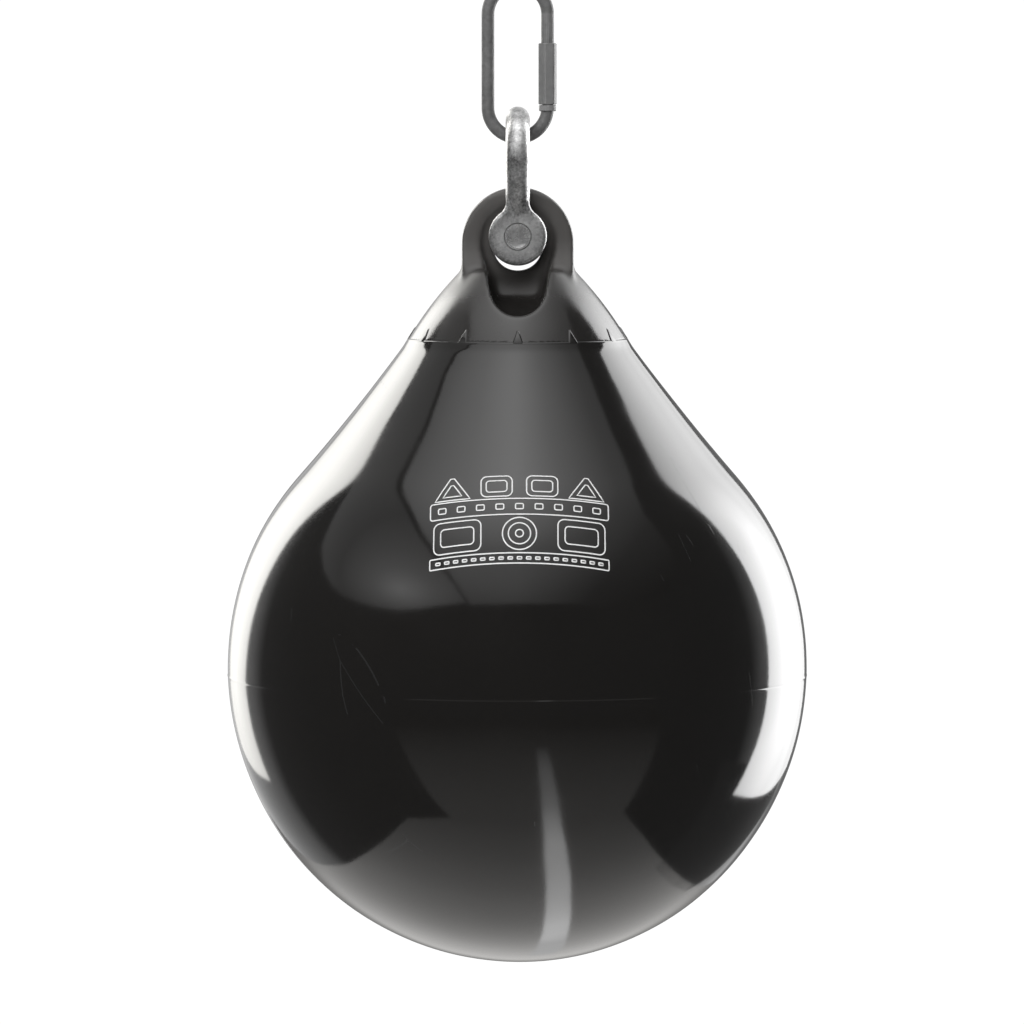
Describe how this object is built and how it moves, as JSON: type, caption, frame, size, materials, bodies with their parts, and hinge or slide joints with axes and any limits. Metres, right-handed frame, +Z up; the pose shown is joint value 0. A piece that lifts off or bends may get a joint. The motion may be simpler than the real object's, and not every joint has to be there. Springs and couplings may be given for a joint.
{
  "type": "heavy punching bag",
  "caption": "Water-filled teardrop punching bag of glossy vinyl, hung by its moulded eye from a bow shackle and an oval screw link.",
  "frame": {"origin": "the hanging point, the lowest point of the inner face of the quick link's top bend", "axes": "+Z up; the quick link lies in the XZ plane, the shackle in the YZ plane; the pin's handle and the fill valve are on the +Y side, the printed mark on the -Y side"},
  "size_m": [0.457, 0.4568, 0.775],
  "materials": {
    "link_steel": "zinc plated, dull",
    "nut_steel": "zinc plated, dull",
    "forged_steel": "forged and galvanised, grainy",
    "pin_steel": "forged and galvanised, smooth",
    "cap_vinyl": "moulded soft vinyl, satin",
    "skin_vinyl": "moulded soft vinyl, glossy",
    "valve_plastic": "hard, satin",
    "plug_plastic": "hard, satin",
    "seal_rubber": "matt",
    "water": "clear liquid, drawn as a solid"
  },
  "bodies": {
    "link": {"link_bar": "link_steel"},
    "nut": {"link_nut": "nut_steel"},
    "shackle": {"shackle_bow": "forged_steel"},
    "pin": {"shackle_pin": "pin_steel"},
    "bag": {"eye_cap": "cap_vinyl", "bag_skin": "skin_vinyl", "valve_seat": "valve_plastic", "water_fill": "water"},
    "plug": {"valve_plug": "plug_plastic", "valve_seal": "seal_rubber"}
  },
  "joints": [
    {"name": "nut_slide", "type": "slide", "parent": "link", "child": "nut", "axis": [0, 0, 1], "range_m": [0, 0.022]},
    {"name": "shackle_swing", "type": "hinge", "parent": "link", "child": "shackle", "pos_m": [0, 0, -0.115], "axis": [1, 0, 0], "range_deg": [-60, 60]},
    {"name": "pin_slide", "type": "slide", "parent": "shackle", "child": "pin", "axis": [0, 1, 0], "range_m": [0, 0.072]},
    {"name": "bag_swing", "type": "hinge", "parent": "shackle", "child": "bag", "pos_m": [0, 0, -0.192], "axis": [0, 1, 0], "range_deg": [-60, 60]},
    {"name": "plug_slide", "type": "slide", "parent": "bag", "child": "plug", "axis": [0, 0.7801, 0.6257], "range_m": [0, 0.02]}
  ]
}
